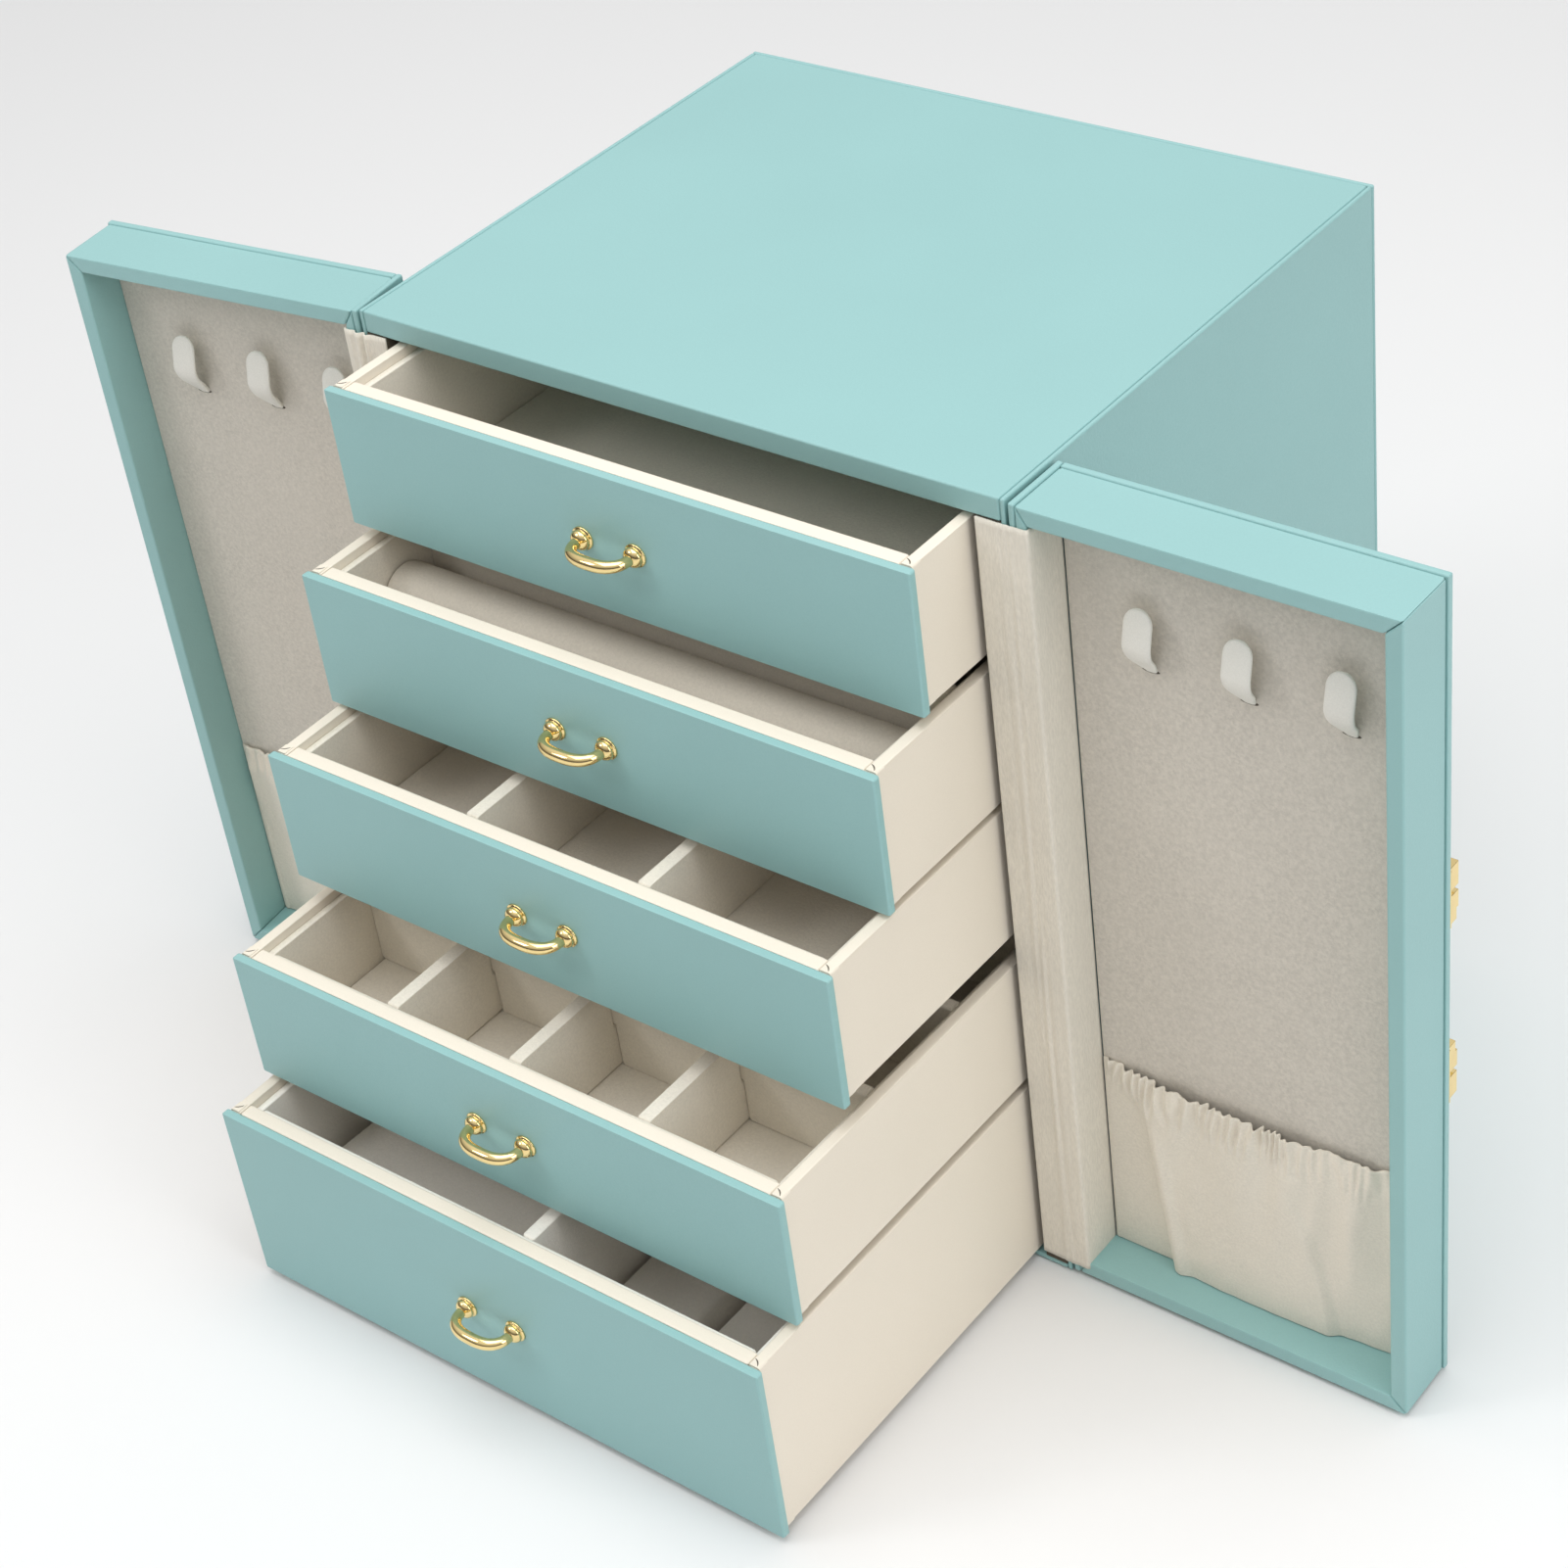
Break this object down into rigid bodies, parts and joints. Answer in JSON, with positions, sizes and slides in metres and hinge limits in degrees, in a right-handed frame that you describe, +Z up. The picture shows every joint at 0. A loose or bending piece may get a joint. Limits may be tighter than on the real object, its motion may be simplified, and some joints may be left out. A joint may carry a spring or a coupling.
{
  "type": "jewelry box",
  "caption": "Leather-covered tabletop jewelry box with pull-out drawers behind two hinged tray doors that carry hooks and pockets.",
  "frame": {"origin": "middle of the cabinet's underside, at the surface it stands on", "axes": "+X to the right as seen from the front, +Y to the back, +Z up; the drawers pull out along -Y"},
  "size_m": [0.5033, 0.3641, 0.303],
  "materials": {
    "teal_leather": "smooth teal synthetic leather on board",
    "cream_leather": "smooth cream synthetic leather on board",
    "suede": "greige faux suede on board",
    "suede_padding": "greige faux suede over foam",
    "hinge_velvet": "cream velvet ribbon",
    "pocket_satin": "cream gathered cloth",
    "hook_flock": "plastic tab covered in pale suede",
    "brass": "polished gold plate",
    "board": "fibreboard lined with dark cloth"
  },
  "bodies": {
    "cabinet": {"cabinet_top": "teal_leather", "cabinet_base": "teal_leather", "cabinet_left_side": "board", "cabinet_right_side": "board", "cabinet_back": "board", "left_side_cover": "teal_leather", "right_side_cover": "teal_leather", "back_cover": "teal_leather", "shelf_1": "board", "shelf_2": "board", "shelf_3": "board", "shelf_4": "board", "left_hinge_cloth_fixed": "hinge_velvet", "right_hinge_cloth_fixed": "hinge_velvet"},
    "left_door": {"left_door_tray": "teal_leather", "left_door_cover": "teal_leather", "left_door_spine": "teal_leather", "left_door_lining": "suede", "left_door_hooks": "hook_flock", "left_door_pocket": "pocket_satin", "left_hinge_cloth_moving": "hinge_velvet", "left_clasp_plates": "brass"},
    "right_door": {"right_door_tray": "teal_leather", "right_door_cover": "teal_leather", "right_door_spine": "teal_leather", "right_door_lining": "suede", "right_door_hooks": "hook_flock", "right_door_pocket": "pocket_satin", "right_hinge_cloth_moving": "hinge_velvet", "right_clasp_plates": "brass"},
    "drawer_1": {"drawer_1_front": "teal_leather", "drawer_1_box": "cream_leather", "drawer_1_lining": "suede", "drawer_1_handle": "brass"},
    "drawer_2": {"drawer_2_front": "teal_leather", "drawer_2_box": "cream_leather", "drawer_2_lining": "suede", "drawer_2_handle": "brass", "drawer_2_roll": "suede_padding", "drawer_2_partition": "suede"},
    "drawer_3": {"drawer_3_front": "teal_leather", "drawer_3_box": "cream_leather", "drawer_3_lining": "suede", "drawer_3_handle": "brass", "drawer_3_dividers": "suede"},
    "drawer_4": {"drawer_4_front": "teal_leather", "drawer_4_box": "cream_leather", "drawer_4_lining": "suede", "drawer_4_handle": "brass", "drawer_4_long_dividers": "suede", "drawer_4_cross_dividers": "suede"},
    "drawer_5": {"drawer_5_front": "teal_leather", "drawer_5_box": "cream_leather", "drawer_5_lining": "suede", "drawer_5_handle": "brass", "drawer_5_divider": "suede", "drawer_5_wide_pad": "suede_padding", "drawer_5_narrow_pads": "suede_padding"},
    "upper_clasp_hook": {"upper_clasp_hook": "brass"},
    "lower_clasp_hook": {"lower_clasp_hook": "brass"}
  },
  "joints": [
    {"name": "drawer_1_slide", "type": "slide", "parent": "cabinet", "child": "drawer_1", "axis": [0, -1, 0], "range_m": [-0.0315, 0.129]},
    {"name": "drawer_2_slide", "type": "slide", "parent": "cabinet", "child": "drawer_2", "axis": [0, -1, 0], "range_m": [-0.0575, 0.103]},
    {"name": "drawer_3_slide", "type": "slide", "parent": "cabinet", "child": "drawer_3", "axis": [0, -1, 0], "range_m": [-0.0885, 0.072]},
    {"name": "drawer_4_slide", "type": "slide", "parent": "cabinet", "child": "drawer_4", "axis": [0, -1, 0], "range_m": [-0.123, 0.0375]},
    {"name": "drawer_5_slide", "type": "slide", "parent": "cabinet", "child": "drawer_5", "axis": [0, -1, 0], "range_m": [-0.144, 0.0165]},
    {"name": "right_door_hinge", "type": "hinge", "parent": "cabinet", "child": "right_door", "pos_m": [0.1254, -0.10495, 0.1515], "axis": [0, 0, -1], "range_deg": [0, 90]},
    {"name": "left_door_hinge", "type": "hinge", "parent": "cabinet", "child": "left_door", "pos_m": [-0.1254, -0.10495, 0.1515], "axis": [0, 0, 1], "range_deg": [-7, 83]},
    {"name": "upper_clasp_swing", "type": "hinge", "parent": "left_door", "child": "upper_clasp_hook", "pos_m": [-0.24937, -0.08899, 0.1915], "axis": [0, 0, 1], "range_deg": [0, 180]},
    {"name": "lower_clasp_swing", "type": "hinge", "parent": "left_door", "child": "lower_clasp_hook", "pos_m": [-0.24937, -0.08899, 0.1225], "axis": [0, 0, 1], "range_deg": [0, 180]}
  ]
}
